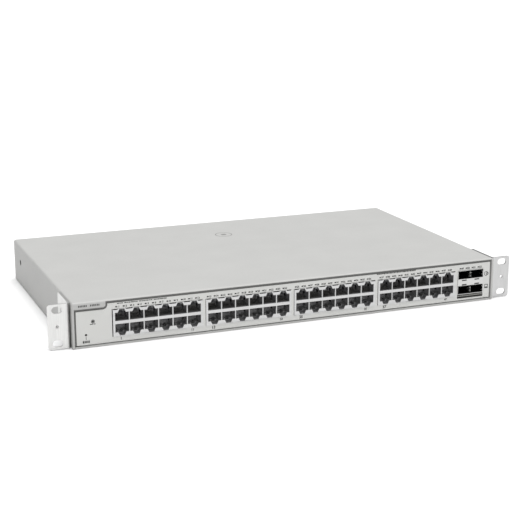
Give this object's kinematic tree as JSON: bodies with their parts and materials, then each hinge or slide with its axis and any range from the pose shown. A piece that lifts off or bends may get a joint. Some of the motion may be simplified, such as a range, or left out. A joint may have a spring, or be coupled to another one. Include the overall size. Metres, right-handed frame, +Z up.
{
  "type": "rackmount network switch",
  "caption": "Low, wide sheet-metal network switch with two rows of ganged jacks, a stacked module cage, bolt-on rack ears and rear exhaust fans.",
  "frame": {"origin": "centre of the bounding box's underside, on the plane that the base tray rests on", "axes": "+X to the right seen from the front, -Y out of the front with the jacks, +Z up"},
  "size_m": [0.4826, 0.266, 0.0436],
  "materials": {
    "chassis_paint": "fine light-grey powder coat",
    "ear_plate": "satin plated steel",
    "nickel_plate": "bright nickel-plated sheet",
    "black_plastic": "moulded black",
    "light_guide": "clear moulded",
    "screw_steel": "zinc-plated",
    "circuit_board": "green solder mask",
    "aluminium": "extruded",
    "gasket_metal": "dark spring metal",
    "transformer": "yellow tape over a ferrite core",
    "capacitor_sleeve": "shrink sleeve",
    "insulating_film": "thin polyester sheet",
    "chip_package": "moulded package"
  },
  "bodies": {
    "chassis": {"base_tray": "chassis_paint", "cage_gasket": "gasket_metal", "cover_rear_screw_1": "screw_steel", "cover_rear_screw_2": "screw_steel", "cover_rear_screw_3": "screw_steel", "cover_side_screw_left": "screw_steel", "cover_side_screw_right": "screw_steel", "ear_left": "ear_plate", "ear_right": "ear_plate", "ear_screw_left_1": "screw_steel", "ear_screw_left_2": "screw_steel", "ear_screw_left_3": "screw_steel", "ear_screw_left_4": "screw_steel", "ear_screw_right_1": "screw_steel", "ear_screw_right_2": "screw_steel", "ear_screw_right_3": "screw_steel", "ear_screw_right_4": "screw_steel", "fan_frame_1": "black_plastic", "fan_frame_2": "black_plastic", "front_panel": "chassis_paint", "ground_screw": "screw_steel", "inlet_pin_earth": "screw_steel", "inlet_pin_line": "screw_steel", "inlet_pin_neutral": "screw_steel", "jack_housing_1": "black_plastic", "jack_housing_2": "black_plastic", "jack_housing_3": "black_plastic", "jack_housing_4": "black_plastic", "jack_light_pipe_1": "light_guide", "jack_light_pipe_2": "light_guide", "jack_light_pipe_3": "light_guide", "jack_light_pipe_4": "light_guide", "jack_shield_1": "nickel_plate", "jack_shield_2": "nickel_plate", "jack_shield_3": "nickel_plate", "jack_shield_4": "nickel_plate", "main_board": "circuit_board", "mains_inlet": "black_plastic", "module_cage": "nickel_plate", "module_connector_1": "black_plastic", "module_connector_2": "black_plastic", "module_connector_3": "black_plastic", "module_connector_4": "black_plastic", "module_light_pipe": "light_guide", "phy_heatsink": "aluminium", "psu_board": "circuit_board", "psu_capacitor": "capacitor_sleeve", "psu_heatsink": "aluminium", "psu_insulator": "insulating_film", "psu_transformer": "transformer", "rear_panel": "chassis_paint", "reset_switch": "black_plastic", "status_light_pipe": "light_guide", "switch_chip": "chip_package", "switch_heatsink": "aluminium", "top_cover": "chassis_paint"},
    "fan_1": {"fan_rotor_1": "black_plastic"},
    "fan_2": {"fan_rotor_2": "black_plastic"},
    "reset": {"reset_button": "black_plastic"}
  },
  "joints": [
    {"name": "fan_1_spin", "type": "hinge", "parent": "chassis", "child": "fan_1", "pos_m": [-0.176, 0.11835, 0.0215], "axis": [0, 1, 0], "continuous": true},
    {"name": "fan_2_spin", "type": "hinge", "parent": "chassis", "child": "fan_2", "pos_m": [-0.132, 0.11835, 0.0215], "axis": [0, 1, 0], "continuous": true},
    {"name": "reset_press", "type": "slide", "parent": "chassis", "child": "reset", "axis": [0, 1, 0], "range_m": [0, 0.0003], "stiffness_N_per_m": 3000}
  ]
}
